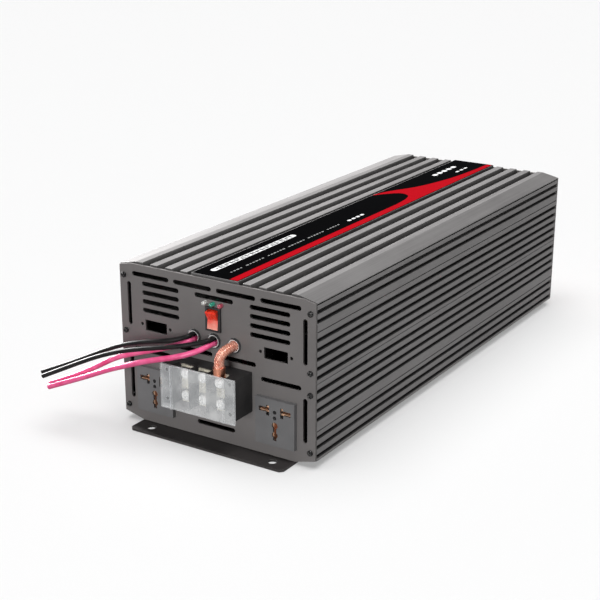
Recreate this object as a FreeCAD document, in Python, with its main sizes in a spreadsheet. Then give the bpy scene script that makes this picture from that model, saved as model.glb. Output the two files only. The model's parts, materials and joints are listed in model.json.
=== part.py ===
# Power inverter: ribbed aluminium case, mains panel at -Y, battery and fan panel at +Y.
# Millimetres, +Z up. X runs to the right seen from the mains panel. The origin lies on the ground,
# midway between the four foot mounting holes.
import FreeCAD, Part
import math
import os
import Sketcher

document = FreeCAD.newDocument("inverter")
sheet = document.addObject("Spreadsheet::Sheet", "dims")


# ------------------------------------------------------------------ sizes that carry a formula
class Size:
    """A number together with the spreadsheet formula it comes from."""

    def __init__(self, text, value):
        self.text = text
        self.value = value

    def __add__(self, other):
        other = sized(other)
        return Size(f"({self.text} + {other.text})", self.value + other.value)

    def __sub__(self, other):
        other = sized(other)
        return Size(f"({self.text} - {other.text})", self.value - other.value)

    def __mul__(self, other):
        other = sized(other)
        return Size(f"({self.text} * {other.text})", self.value * other.value)

    def __truediv__(self, other):
        other = sized(other)
        return Size(f"({self.text} / {other.text})", self.value / other.value)

    def __neg__(self):
        return Size(f"(0 - {self.text})", -self.value)

    def __radd__(self, other):
        return sized(other) + self

    def __rsub__(self, other):
        return sized(other) - self

    def __rmul__(self, other):
        return sized(other) * self


def sized(number):
    """Return a plain number as a Size; a Size passes through."""
    if isinstance(number, Size):
        return number
    return Size(f"({number:.6g})", float(number))


def dimension(alias, value):
    """Write one driving dimension into the next row of the sheet and return it as a Size."""
    dimension.row += 1
    cell = f"B{dimension.row}"
    sheet.set(f"A{dimension.row}", alias)
    sheet.set(cell, str(value))
    sheet.setAlias(cell, alias)
    return Size(f"dims.{alias}", float(value))


dimension.row = 0

# Case
BODY_WIDTH = dimension("body_width", 198)
BODY_LENGTH = dimension("body_length", 490)
PANEL_THICK = dimension("panel_thick", 2)
FOOT_THICK = dimension("foot_thick", 2)
EDGE_LOW = dimension("edge_low", 7)
EDGE_HIGH = dimension("edge_high", 142.7)
TOP_FLAT = dimension("top_flat", 146.6)
SPLIT_LEVEL = dimension("split_level", 74.3)
SHOULDER_HALF = dimension("shoulder_half", 81.5)
BOTTOM_HALF = dimension("bottom_half", 79)
SIDE_WALL = dimension("side_wall", 5.5)
BOTTOM_WALL = dimension("bottom_wall", 3)
GROOVE_FLOOR = dimension("groove_floor", 141.2)
CEILING = dimension("ceiling_level", 138.4)
RIB_TOP = dimension("rib_top", 146.3)
RIB_WIDTH = dimension("rib_width", 7)
RIB_PITCH = dimension("rib_pitch", 15.7)
RIB_FIRST = dimension("rib_first", 31.7)
RIB_SLOPE = dimension("rib_slope", 1.3)
SEAT_HALF = dimension("seat_half", 23.5)
SEAT_LEVEL = dimension("seat_level", 147)
SIDE_GROOVE_WIDE = dimension("side_groove_wide", 3.6)
SIDE_GROOVE_DEEP = dimension("side_groove_deep", 3)
SIDE_GROOVE_SLOPE = dimension("side_groove_slope", 0.6)
UPPER_GROOVE_FIRST = dimension("upper_groove_first", 79.6)
UPPER_GROOVE_PITCH = dimension("upper_groove_pitch", 7.95)
LOWER_GROOVE_FIRST = dimension("lower_groove_first", 67.8)
LOWER_GROOVE_PITCH = dimension("lower_groove_pitch", 8.1)
BOARD_LEVEL = dimension("board_level", 21.8)
BOARD_THICK = dimension("board_thick", 1.6)
PORT_PLACE = dimension("port_place", 94)
PORT_RADIUS = dimension("port_radius", 3)
SHANK_RADIUS = dimension("shank_radius", 1.5)
SHANK_LENGTH = dimension("shank_length", 10)

# Feet
FOOT_REACH = dimension("foot_reach", 19.5)
FOOT_DEPTH = dimension("foot_depth", 45)
FOOT_HALF = dimension("foot_half", 79)
MOUNT_SPAN_X = dimension("mount_span_x", 126)
MOUNT_SPAN_Y = dimension("mount_span_y", 508)
MOUNT_HOLE_RADIUS = dimension("mount_hole_radius", 4)

# Mains panel
SLOT_LENGTH = dimension("slot_length", 39)
SLOT_HEIGHT = dimension("slot_height", 4.1)
SLOT_ROW_PITCH = dimension("slot_row_pitch", 43.8)
LOUVRE_PLACE = dimension("louvre_place", 55.4)
LOUVRE_PITCH = dimension("louvre_pitch", 7.83)
SWITCH_LEVEL = dimension("switch_level", 111.2)
LAMP_LEVEL = dimension("lamp_level", 124.4)
LAMP_PITCH = dimension("lamp_pitch", 8)
LAMP_RADIUS = dimension("lamp_radius", 2)
GROMMET_LEVEL = dimension("grommet_level", 92.2)
GROMMET_PITCH = dimension("grommet_pitch", 20.5)
GROMMET_BORE = dimension("grommet_bore", 4.5)
BLACK_LEAD_RADIUS = dimension("black_lead_radius", 2)
RED_LEAD_RADIUS = dimension("red_lead_radius", 2.4)
COPPER_RADIUS = dimension("copper_radius", 4.2)
SOCKET_PLACE = dimension("socket_place", 62)
SOCKET_LEVEL = dimension("socket_level", 34)
SOCKET_WIDTH = dimension("socket_width", 38)
SOCKET_HEIGHT = dimension("socket_height", 41)
SOCKET_RIM = dimension("socket_rim", 4)

# Output terminal block
BLOCK_LEVEL = dimension("block_level", 55)
BLOCK_WIDTH = dimension("block_width", 75)
BLOCK_HEIGHT = dimension("block_height", 35)
BLOCK_DEPTH = dimension("block_depth", 24)
BLOCK_FLOOR = dimension("block_floor", 13)
POLE_PITCH = dimension("pole_pitch", 17.8)
SCREW_ROW_PITCH = dimension("screw_row_pitch", 19.5)
COVER_THICK = dimension("cover_thick", 2)

# Battery panel
FAN_LEVEL = dimension("fan_level", 75)
FAN_SIZE = dimension("fan_size", 120)
FAN_DEPTH = dimension("fan_depth", 25)
FAN_HOLE_SPAN = dimension("fan_hole_span", 105)
FAN_BORE = dimension("fan_bore", 58)
RING_FIRST = dimension("ring_first", 16)
RING_PITCH = dimension("ring_pitch", 6.9)
RING_WIRE = dimension("ring_wire", 0.8)
GUARD_STANDOFF = dimension("guard_standoff", 5)
POST_PLACE = dimension("post_place", 75)
POST_SPAN = dimension("post_span", 27)
POST_LEVEL = dimension("post_level", 73.5)
STUD_RADIUS = dimension("stud_radius", 4)
THREAD_GAP = dimension("thread_gap", 0.05)
CAP_RADIUS = dimension("cap_radius", 9.8)
CAP_LENGTH = dimension("cap_length", 25)

document.recompute()

FRONT = -BODY_LENGTH / 2
REAR = BODY_LENGTH / 2
HALF_WIDTH = BODY_WIDTH / 2
BODY_BOTTOM = FOOT_THICK
INNER_HALF = HALF_WIDTH - SIDE_WALL
PORT_LEVELS = [14, 64.5, 83.3, 133.5]
finished_nodes = []


# ------------------------------------------------------------------ building blocks
def bind(thing, path, size):
    thing.setExpression(path, sized(size).text)


def place(thing, base, rotation=None):
    """Bind the base point of a thing's Placement; the rotation is fixed."""
    numbers = [sized(value).value for value in base]
    thing.Placement = FreeCAD.Placement(FreeCAD.Vector(*numbers), rotation or FreeCAD.Rotation())
    for letter, value in zip("xyz", base):
        bind(thing, f"Placement.Base.{letter}", value)
    return thing


def box(low, high):
    """Block between two corner points."""
    thing = document.addObject("Part::Box", "block")
    for path, start, end in zip(("Length", "Width", "Height"), low, high):
        bind(thing, path, sized(end) - start)
    return place(thing, low)


TOWARD = {
    "x": FreeCAD.Rotation(FreeCAD.Vector(0, 1, 0), 90),
    "y": FreeCAD.Rotation(FreeCAD.Vector(1, 0, 0), -90),
    "z": FreeCAD.Rotation(),
}


def rod(start, radius, length, axis="y"):
    """Cylinder from a start point toward +axis."""
    thing = document.addObject("Part::Cylinder", "rod")
    bind(thing, "Radius", radius)
    bind(thing, "Height", length)
    return place(thing, start, TOWARD[axis])


def ball(centre, radius):
    thing = document.addObject("Part::Sphere", "ball")
    bind(thing, "Radius", radius)
    return place(thing, centre)


def ring(centre, radius, wire, axis="y"):
    thing = document.addObject("Part::Torus", "ring")
    bind(thing, "Radius1", radius)
    bind(thing, "Radius2", wire)
    return place(thing, centre, TOWARD[axis])


def fuse(parts):
    thing = document.addObject("Part::MultiFuse", "joined")
    thing.Shapes = parts
    return thing


def cut(base, tools):
    thing = document.addObject("Part::Cut", "cut")
    thing.Base = base
    thing.Tool = tools[0] if len(tools) == 1 else fuse(tools)
    return thing


def group(parts):
    """Several separate solids that share one node."""
    thing = document.addObject("Part::Compound", "set")
    thing.Links = parts
    return thing


def node(label, thing):
    """Give the finished sub-part its label; it is written out under that name."""
    thing.Label = label
    finished_nodes.append(thing)
    return thing


def outline(body, points, plane):
    """Closed polygon sketch on an origin plane, every corner bound to its two sizes."""
    sketch = body.newObject("Sketcher::SketchObject", "outline")
    for feature in body.Origin.OriginFeatures:
        if feature.Role == plane:
            sketch.AttachmentSupport = [(feature, "")]
    sketch.MapMode = "FlatFace"
    count = len(points)
    corners = [(sized(u), sized(v)) for u, v in points]
    vectors = [FreeCAD.Vector(u.value, v.value, 0) for u, v in corners]
    for index in range(count):
        sketch.addGeometry(Part.LineSegment(vectors[index], vectors[(index + 1) % count]), False)
    for index in range(count):
        sketch.addConstraint(Sketcher.Constraint("Coincident", index, 2, (index + 1) % count, 1))
    for index, (u, v) in enumerate(corners):
        for kind, letter, size in (("DistanceX", "u", u), ("DistanceY", "v", v)):
            number = sketch.addConstraint(Sketcher.Constraint(kind, -1, 1, index, 1, size.value))
            sketch.renameConstraint(number, f"{letter}{index}")
            sketch.setExpression(f"Constraints.{letter}{index}", size.text)
    return sketch


def prism(points, plane, length, base=(0, 0, 0), rotation=None):
    """Polygon padded along the plane's positive world axis."""
    body = document.addObject("PartDesign::Body", "prism")
    sketch = outline(body, points, plane)
    pad = body.newObject("PartDesign::Pad", "pad")
    pad.Profile = sketch
    bind(pad, "Length", length)
    pad.Reversed = plane == "XZ_Plane"
    sketch.Visibility = False
    return place(body, base, rotation)


def turned(points, base, plane="XY_Plane"):
    """Polygon (radius, height) turned about the sketch's upright axis: Y for XY_Plane, Z for XZ_Plane."""
    body = document.addObject("PartDesign::Body", "turned")
    sketch = outline(body, points, plane)
    revolution = body.newObject("PartDesign::Revolution", "turn")
    revolution.Profile = sketch
    revolution.ReferenceAxis = (sketch, ["V_Axis"])
    revolution.Angle = 360
    return place(body, base)


def pipe(points, radius):
    """Round lead guided by a list of points, made in code because no primitive follows a free curve."""
    vectors = [FreeCAD.Vector(*[sized(value).value for value in point]) for point in points]
    curve = Part.BSplineCurve()
    curve.buildFromPoles(vectors, False, 3)
    spine = Part.Wire(curve.toShape())
    start = curve.tangent(curve.FirstParameter)[0]
    end_face = Part.Wire(Part.makeCircle(sized(radius).value, vectors[0], start))
    thing = document.addObject("Part::Feature", "lead")
    thing.Shape = spine.makePipeShell([end_face], True, False)
    return thing


# ------------------------------------------------------------------ case shells
def side_grooves(levels, half):
    """Corners of the side grooves, in the order the levels are given (all going up, or all down)."""
    corners = []
    wide = SIDE_GROOVE_WIDE / 2
    floor = half - SIDE_GROOVE_DEEP
    direction = 1 if levels[1].value > levels[0].value else -1
    for level in levels:
        corners.append((half, level - direction * wide))
        corners.append((floor, level - direction * (wide - SIDE_GROOVE_SLOPE)))
        corners.append((floor, level + direction * (wide - SIDE_GROOVE_SLOPE)))
        corners.append((half, level + direction * wide))
    return corners


def scored_line(level, half, direction, reach=0.5, depth=0.7):
    """Thin V-shaped line along the side."""
    return [(half, level - direction * reach), (half - depth, level), (half, level + direction * reach)]


def upper_profile():
    split_chamfer = 0.4
    first, pitch = UPPER_GROOVE_FIRST, UPPER_GROOVE_PITCH
    right = [(HALF_WIDTH - split_chamfer, SPLIT_LEVEL), (HALF_WIDTH, SPLIT_LEVEL + split_chamfer)]
    right += side_grooves([first + pitch * k for k in range(5)], HALF_WIDTH)
    right += scored_line(first + pitch * 5 - 1.2, HALF_WIDTH, 1)
    right += side_grooves([first + pitch * k for k in (6, 7)], HALF_WIDTH)
    right += [(HALF_WIDTH, EDGE_HIGH - 1.9), (HALF_WIDTH - 1.8, EDGE_HIGH - 1.9)]
    right += [(HALF_WIDTH - 1.8, EDGE_HIGH - 0.7), (HALF_WIDTH, EDGE_HIGH - 0.7)]
    right += [(HALF_WIDTH, EDGE_HIGH), (SHOULDER_HALF, TOP_FLAT)]
    flat_end = RIB_FIRST + RIB_PITCH * 2 + RIB_WIDTH / 2 + (RIB_PITCH - RIB_WIDTH)
    right += [(flat_end, TOP_FLAT), (flat_end - RIB_SLOPE, GROOVE_FLOOR)]
    for k in (2, 1, 0):
        centre = RIB_FIRST + RIB_PITCH * k
        outer, inner = centre + RIB_WIDTH / 2, centre - RIB_WIDTH / 2
        right += [(outer + RIB_SLOPE, GROOVE_FLOOR), (outer, RIB_TOP), (inner, RIB_TOP)]
        if k > 0:
            right.append((inner - RIB_SLOPE, GROOVE_FLOOR))
    right += [(RIB_FIRST - RIB_WIDTH / 2 - 0.7, GROOVE_FLOOR + 1), (SEAT_HALF + 0.7, GROOVE_FLOOR + 1)]
    right += [(SEAT_HALF, SEAT_LEVEL)]
    outer_chain = right + [(-u, v) for u, v in reversed(right)]
    inner_left = [(-INNER_HALF, SPLIT_LEVEL), (-INNER_HALF, CEILING - 2.4), (-INNER_HALF + 2.4, CEILING)]
    inner_right = [(-u, v) for u, v in reversed(inner_left)]
    return outer_chain + inner_left + inner_right


def lower_profile():
    split_chamfer = 0.4
    first, pitch = LOWER_GROOVE_FIRST, LOWER_GROOVE_PITCH
    right = [(HALF_WIDTH - split_chamfer, SPLIT_LEVEL), (HALF_WIDTH, SPLIT_LEVEL - split_chamfer)]
    right += side_grooves([first - pitch * k for k in range(4)], HALF_WIDTH)
    right += scored_line(first - pitch * 4 - 2.4, HALF_WIDTH, -1)
    right += side_grooves([first - pitch * k for k in (5, 6, 7)], HALF_WIDTH)
    right += [(HALF_WIDTH, EDGE_LOW), (BOTTOM_HALF, BODY_BOTTOM)]
    outer_chain = right + [(-u, v) for u, v in reversed(right)]
    floor = BODY_BOTTOM + BOTTOM_WALL
    ledge = INNER_HALF - 3
    board_top = BOARD_LEVEL + BOARD_THICK + 0.1
    inner_left = [(-INNER_HALF, SPLIT_LEVEL), (-INNER_HALF, board_top + 1.6), (-ledge, board_top + 1.6),
                  (-ledge, board_top), (-INNER_HALF, board_top), (-INNER_HALF, BOARD_LEVEL),
                  (-ledge, BOARD_LEVEL), (-ledge, BOARD_LEVEL - 1.6), (-INNER_HALF, BOARD_LEVEL - 1.6),
                  (-INNER_HALF, floor + 3), (-INNER_HALF + 6, floor)]
    inner_right = [(-u, v) for u, v in reversed(inner_left)]
    return outer_chain + inner_left + inner_right


def shell(label, profile, port_levels, extra_holes):
    """Extrusion between the two panels, with a screw port at each panel screw."""
    length = BODY_LENGTH - PANEL_THICK * 2
    start = FRONT + PANEL_THICK
    blank = prism(profile, "XZ_Plane", length, (0, start, 0))
    bosses = []
    holes = list(extra_holes)
    for level in port_levels:
        for side in (1, -1):
            bosses.append(rod((PORT_PLACE * side - 0.3 * side, start, level), PORT_RADIUS, length))
            for face in (start, REAR - PANEL_THICK - SHANK_LENGTH):
                holes.append(rod((PORT_PLACE * side, face, level), SHANK_RADIUS, SHANK_LENGTH))
    return node(label, cut(fuse([blank] + bosses), holes))


def foot_screw_places():
    inset = FOOT_DEPTH - FOOT_REACH - 12
    return [(x, y) for y in (FRONT + inset, REAR - inset) for x in (-60, 0, 60)]


def make_shells():
    shell("upper_shell", upper_profile(), PORT_LEVELS[2:], [])
    screw_holes = [rod((x, y, BODY_BOTTOM), 1.75, BOTTOM_WALL, "z") for x, y in foot_screw_places()]
    shell("lower_shell", lower_profile(), PORT_LEVELS[:2], screw_holes)


# ------------------------------------------------------------------ feet and screws
def make_feet():
    for label, edge, inward in (("front_foot", FRONT, 1), ("rear_foot", REAR, -1)):
        outer = edge - FOOT_REACH * inward
        inner = outer + FOOT_DEPTH * inward
        low, high = (outer, inner) if inward == 1 else (inner, outer)
        corner = 3
        plate = prism([(-FOOT_HALF + corner, low), (FOOT_HALF - corner, low), (FOOT_HALF, low + corner),
                       (FOOT_HALF, high - corner), (FOOT_HALF - corner, high), (-FOOT_HALF + corner, high),
                       (-FOOT_HALF, high - corner), (-FOOT_HALF, low + corner)], "XY_Plane", FOOT_THICK)
        holes = []
        for side in (1, -1):
            place_x = MOUNT_SPAN_X / 2 * side
            holes.append(rod((place_x, -MOUNT_SPAN_Y / 2 * inward, 0), MOUNT_HOLE_RADIUS, FOOT_THICK, "z"))
        for x, y in foot_screw_places():
            if y.value * inward < 0:
                holes.append(turned([(0, 0), (3.4, 0), (1.8, FOOT_THICK), (0, FOOT_THICK)], (x, y, 0),
                                    "XZ_Plane"))
        node(label, cut(plate, holes))


def foot_screw(x, y):
    reach = BODY_BOTTOM + BOTTOM_WALL + 2
    profile = [(0, 0.1), (3.3, 0.1), (1.75, FOOT_THICK - 0.1), (1.75, reach), (0, reach)]
    recess = [box((x - 1.8, y - 0.4, 0.1), (x + 1.8, y + 0.4, 1.2)),
              box((x - 0.4, y - 1.8, 0.1), (x + 0.4, y + 1.8, 1.2))]
    return cut(turned(profile, (x, y, 0), "XZ_Plane"), recess)


def panel_screw(x, level, face, outward):
    """Pan-head screw through a panel; outward is -1 for the mains panel and +1 for the battery panel."""
    head = 2
    deep = SHANK_LENGTH * -outward
    profile = [(0, head * outward), (1.8, head * outward), (2.5, (head - 0.7) * outward), (2.5, 0),
               (SHANK_RADIUS, 0), (SHANK_RADIUS, deep), (0, deep)]
    start = face + head * outward
    end = face + (head - 1.2) * outward
    low, high = (start, end) if outward < 0 else (end, start)
    recess = [box((x - 1.5, low, level - 0.35), (x + 1.5, high, level + 0.35)),
              box((x - 0.35, low, level - 1.5), (x + 0.35, high, level + 1.5))]
    return cut(turned(profile, (x, face, level)), recess)


def make_screws():
    node("foot_screws", group([foot_screw(x, y) for x, y in foot_screw_places()]))
    places = [(PORT_PLACE * side, level) for level in PORT_LEVELS for side in (1, -1)]
    ends = [(FRONT, -1), (REAR, 1)]
    node("panel_screws", group([panel_screw(x, level, face, outward)
                                for face, outward in ends for x, level in places]))


# ------------------------------------------------------------------ panels
def panel_blank(start):
    inset = 0.4
    top = TOP_FLAT - 1.9
    right = [(BOTTOM_HALF, BODY_BOTTOM + inset), (HALF_WIDTH - inset, EDGE_LOW + inset),
             (HALF_WIDTH - inset, EDGE_HIGH - inset), (SHOULDER_HALF + 6, top)]
    return prism(right + [(-u, v) for u, v in reversed(right)], "XZ_Plane", PANEL_THICK, (0, start, 0))


def slot_cutter(x, level, upright=False):
    """Round-ended vent slot through the mains panel."""
    half, radius = (SLOT_LENGTH - SLOT_HEIGHT) / 2, SLOT_HEIGHT / 2
    x, level = sized(x), sized(level)
    if upright:
        middle = box((x - radius, FRONT, level - half), (x + radius, FRONT + PANEL_THICK, level + half))
        ends = [(x, level - half), (x, level + half)]
    else:
        middle = box((x - half, FRONT, level - radius), (x + half, FRONT + PANEL_THICK, level + radius))
        ends = [(x - half, level), (x + half, level)]
    return [middle] + [rod((u, FRONT, v), radius, PANEL_THICK) for u, v in ends]


def vent_slots():
    """The whole vent pattern of the mains panel as (x, level, upright)."""
    top_row, louvre_top, block_row, socket_row = 136.3, 128.8, 79.4, 68.6
    slots = [(0, 129.3, False), (0, 15.2, False)]
    for side in (1, -1):
        slots.append((SLOT_ROW_PITCH * 0.5 * side, top_row, False))
        slots.append((SLOT_ROW_PITCH * 1.5 * side, top_row, False))
        slots.append((SLOT_ROW_PITCH * 0.5 * side, block_row, False))
        slots.append((SLOT_ROW_PITCH * 1.5 * side, socket_row, False))
        slots += [(LOUVRE_PLACE * side, louvre_top - LOUVRE_PITCH * k, False) for k in range(4)]
        slots += [(89 * side, 108.8, True), (89 * side, 41, True)]
    return slots


SWITCH_BODY = (6.6, 9.6)
SOCKET_BODY = (17, 18)
GROMMET_NECK = 5.6
SPARE_HALF = (11.5, 4.9)
SPARE_PLACE = (61, 92)
BLOCK_EAR = 32


def make_front_panel():
    tools = []
    through = PANEL_THICK
    for x, level, upright in vent_slots():
        tools += slot_cutter(x, level, upright)
    tools.append(box((-SWITCH_BODY[0], FRONT, SWITCH_LEVEL - SWITCH_BODY[1]),
                     (SWITCH_BODY[0], FRONT + through, SWITCH_LEVEL + SWITCH_BODY[1])))
    for k in (-1, 0, 1):
        tools.append(rod((LAMP_PITCH * k, FRONT, LAMP_LEVEL), LAMP_RADIUS, through))
        tools.append(rod((GROMMET_PITCH * k, FRONT, GROMMET_LEVEL), GROMMET_NECK, through))
    for side in (1, -1):
        x = SPARE_PLACE[0] * side
        tools.append(box((x - SPARE_HALF[0], FRONT, SPARE_PLACE[1] - SPARE_HALF[1]),
                         (x + SPARE_HALF[0], FRONT + through, SPARE_PLACE[1] + SPARE_HALF[1])))
        tools += [rod((x + offset, FRONT, SPARE_PLACE[1] + 0.4), 1.5, through) for offset in (-15, 15)]
        middle = SOCKET_PLACE * side
        tools.append(box((middle - SOCKET_BODY[0], FRONT, SOCKET_LEVEL - SOCKET_BODY[1]),
                         (middle + SOCKET_BODY[0], FRONT + through, SOCKET_LEVEL + SOCKET_BODY[1])))
        tools.append(rod((BLOCK_EAR * side, FRONT, BLOCK_LEVEL), 2, through))
        tools += [rod((PORT_PLACE * side, FRONT, level), SHANK_RADIUS, through) for level in PORT_LEVELS]
    node("front_panel", cut(panel_blank(FRONT), tools))


def post_places(side):
    """Centres of the two battery posts on one side: upper and lower."""
    return [(POST_PLACE * side, POST_LEVEL + POST_SPAN / 2), (POST_PLACE * side, POST_LEVEL - POST_SPAN / 2)]


POST_COLLAR = 6.5


def make_rear_panel():
    start = REAR - PANEL_THICK
    tools = [rod((0, start, FAN_LEVEL), FAN_BORE + 0.6, PANEL_THICK)]
    for side in (1, -1):
        for x, level in post_places(side):
            tools.append(rod((x, start, level), POST_COLLAR, PANEL_THICK))
        tools += [rod((PORT_PLACE * side, start, level), SHANK_RADIUS, PANEL_THICK) for level in PORT_LEVELS]
    tools += [rod((x, start, level), 2, PANEL_THICK) for x, level in fan_corners()]
    node("rear_panel", cut(panel_blank(start), tools))


def make_top_label():
    low = (-SEAT_HALF + 1, FRONT + PANEL_THICK + 0.5, SEAT_LEVEL)
    high = (SEAT_HALF - 1, REAR - PANEL_THICK - 0.5, SEAT_LEVEL + 0.3)
    node("top_label", box(low, high))


# ------------------------------------------------------------------ rocker switch and lamps
SWITCH_PIVOT = 1.6
SWITCH_TILT = 10


def make_switch():
    face = FRONT - 2
    bezel = box((-7.5, face, SWITCH_LEVEL - 10.5), (7.5, FRONT, SWITCH_LEVEL + 10.5))
    barrel = box((-SWITCH_BODY[0], FRONT, SWITCH_LEVEL - SWITCH_BODY[1]),
                 (SWITCH_BODY[0], FRONT + 16, SWITCH_LEVEL + SWITCH_BODY[1]))
    mouth = box((-5.4, face, SWITCH_LEVEL - 9), (5.4, FRONT + 12, SWITCH_LEVEL + 9))
    pins = rod((-6, FRONT + SWITCH_PIVOT, SWITCH_LEVEL), 1.05, 12, "x")
    node("switch_housing", cut(fuse([bezel, barrel]), [mouth, pins]))

    # Rocker profile as (y, z) about its pivot, drawn level and then tipped to the off position.
    profile = [(-3.4, 0), (-5.8, 7.5), (-4.6, 8.1), (1, 8.1), (5, 4), (5, -4), (1, -8.1), (-4.6, -8.1),
               (-5.8, -7.5)]
    tip = FreeCAD.Rotation(FreeCAD.Vector(1, 0, 0), SWITCH_TILT)
    key = prism(profile, "YZ_Plane", 10.4, (-5.2, FRONT + SWITCH_PIVOT, SWITCH_LEVEL), tip)
    trunnion = rod((-5.9, FRONT + SWITCH_PIVOT, SWITCH_LEVEL), 1, 11.8, "x")
    node("switch_rocker", fuse([key, trunnion]))


def make_lamps():
    for label, k in (("lamp_clear", -1), ("lamp_green", 0), ("lamp_red", 1)):
        x = LAMP_PITCH * k
        stem = rod((x, FRONT - 3, LAMP_LEVEL), LAMP_RADIUS, 9)
        dome = ball((x, FRONT - 3, LAMP_LEVEL), LAMP_RADIUS)
        rim = rod((x, FRONT + PANEL_THICK, LAMP_LEVEL), LAMP_RADIUS + 0.4, 1)
        node(label, fuse([stem, dome, rim]))


# ------------------------------------------------------------------ grommets and leads
def make_grommets():
    for label, k in (("grommet_left", -1), ("grommet_middle", 0), ("grommet_right", 1)):
        outer, bore = GROMMET_NECK + 1, GROMMET_BORE
        profile = [(bore, -1.4), (bore + 0.6, -2), (outer - 0.8, -2), (outer, -1.2), (outer, 0),
                   (GROMMET_NECK, 0), (GROMMET_NECK, PANEL_THICK), (outer, PANEL_THICK),
                   (outer, PANEL_THICK + 1.6), (bore, PANEL_THICK + 1.6)]
        node(label, turned(profile, (GROMMET_PITCH * k, FRONT, GROMMET_LEVEL)))


def through_grommet(x, level, reach):
    """Guide points from the board, up behind the panel at a reach from it and out through a grommet."""
    rise = [(x, FRONT + reach, 24), (x, FRONT + reach, 40), (x, FRONT + reach - 1, 65)]
    bend = [(x, FRONT + reach - 4, level - 8), (x, FRONT + reach - 12, level)]
    return rise + bend + [(x, FRONT + y, level) for y in (22, 12, 3, -5, -10)]


BLACK_REACH = 54
RED_REACH = 44


def make_leads():
    """A black and a red lead leave each of the left and middle grommets and sweep to the left."""
    sweeps = {
        ("black", "left"): [(-31, -17, 91), (-55, -21, 87), (-80, -25, 80.5), (-104, -30, 69),
                            (-127, -36, 57.5), (-154.5, -44, 45.7)],
        ("red", "left"): [(-30, -14, 86), (-52, -20, 79), (-70, -24, 74), (-86, -28, 68),
                          (-103, -32, 57), (-129, -36, 43.5), (-149.4, -40, 35.2)],
        ("black", "middle"): [(-10, -18, 92.5), (-26, -23, 88.5), (-50, -28, 84), (-75, -32, 78),
                              (-100, -38, 69), (-124, -45, 57), (-145.4, -53, 46.8)],
        ("red", "middle"): [(-7, -19, 86), (-25, -26, 80), (-48, -31, 74.5), (-71, -34, 65.5),
                            (-88, -37, 59.5), (-110, -41, 49), (-142.9, -49, 36.1)],
    }
    for (colour, position), outside in sweeps.items():
        x = -GROMMET_PITCH if position == "left" else sized(0)
        if colour == "black":
            radius, reach = BLACK_LEAD_RADIUS, BLACK_REACH
            level = GROMMET_LEVEL + (RED_LEAD_RADIUS + 0.05)
        else:
            radius, reach = RED_LEAD_RADIUS, RED_REACH
            level = GROMMET_LEVEL - (BLACK_LEAD_RADIUS + 0.05)
        guide = through_grommet(x, level, reach)
        guide += [(u, FRONT + v, w) for u, v, w in outside]
        node(f"{colour}_lead_{position}", pipe(guide, radius))


LUG_STANDOFF = 18.4


def make_copper_lead():
    """Heavy output lead from the right grommet to the upper screw of the third pole."""
    guide = through_grommet(GROMMET_PITCH, GROMMET_LEVEL, BLACK_REACH)
    guide += [(GROMMET_PITCH - 0.3, FRONT - 17, 91), (POLE_PITCH + 0.3, FRONT - LUG_STANDOFF, 86)]
    guide += [(POLE_PITCH, FRONT - LUG_STANDOFF, level) for level in (82, 79, 76)]
    node("copper_lead", pipe(guide, COPPER_RADIUS))


# ------------------------------------------------------------------ output terminal block
def pole_places():
    return [POLE_PITCH * k for k in (-1, 0, 1)]


def screw_levels():
    return [BLOCK_LEVEL + SCREW_ROW_PITCH / 2, BLOCK_LEVEL - SCREW_ROW_PITCH / 2]


TERMINAL_SHANK = 2.4


def make_block_base():
    low, high = BLOCK_LEVEL - BLOCK_HEIGHT / 2, BLOCK_LEVEL + BLOCK_HEIGHT / 2
    half = BLOCK_WIDTH / 2
    inner = POLE_PITCH * 1.5
    parts = [box((-half, FRONT - BLOCK_FLOOR, low), (half, FRONT, high))]
    for k in (-0.5, 0.5):
        middle = POLE_PITCH * k
        parts.append(box((middle - 1, FRONT - BLOCK_DEPTH, low), (middle + 1, FRONT - BLOCK_FLOOR, high)))
    tools = []
    for side in (1, -1):
        near, far = (inner, half) if side == 1 else (-half, -inner)
        parts.append(box((near, FRONT - BLOCK_DEPTH, low), (far, FRONT - BLOCK_FLOOR, high)))
        x = BLOCK_EAR * side
        tools.append(rod((x, FRONT - BLOCK_DEPTH, BLOCK_LEVEL), 4, BLOCK_DEPTH - 6))
        tools.append(rod((x, FRONT - 6, BLOCK_LEVEL), 2, 6))
        for up in (1, -1):
            tools.append(rod((x, FRONT - BLOCK_DEPTH, BLOCK_LEVEL + 13 * up), 1.65, 7))
    for x in pole_places():
        for level in screw_levels():
            tools.append(rod((x, FRONT - BLOCK_FLOOR, level), TERMINAL_SHANK + 0.3, 8))
    node("block_base", cut(fuse(parts), tools))


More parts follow.
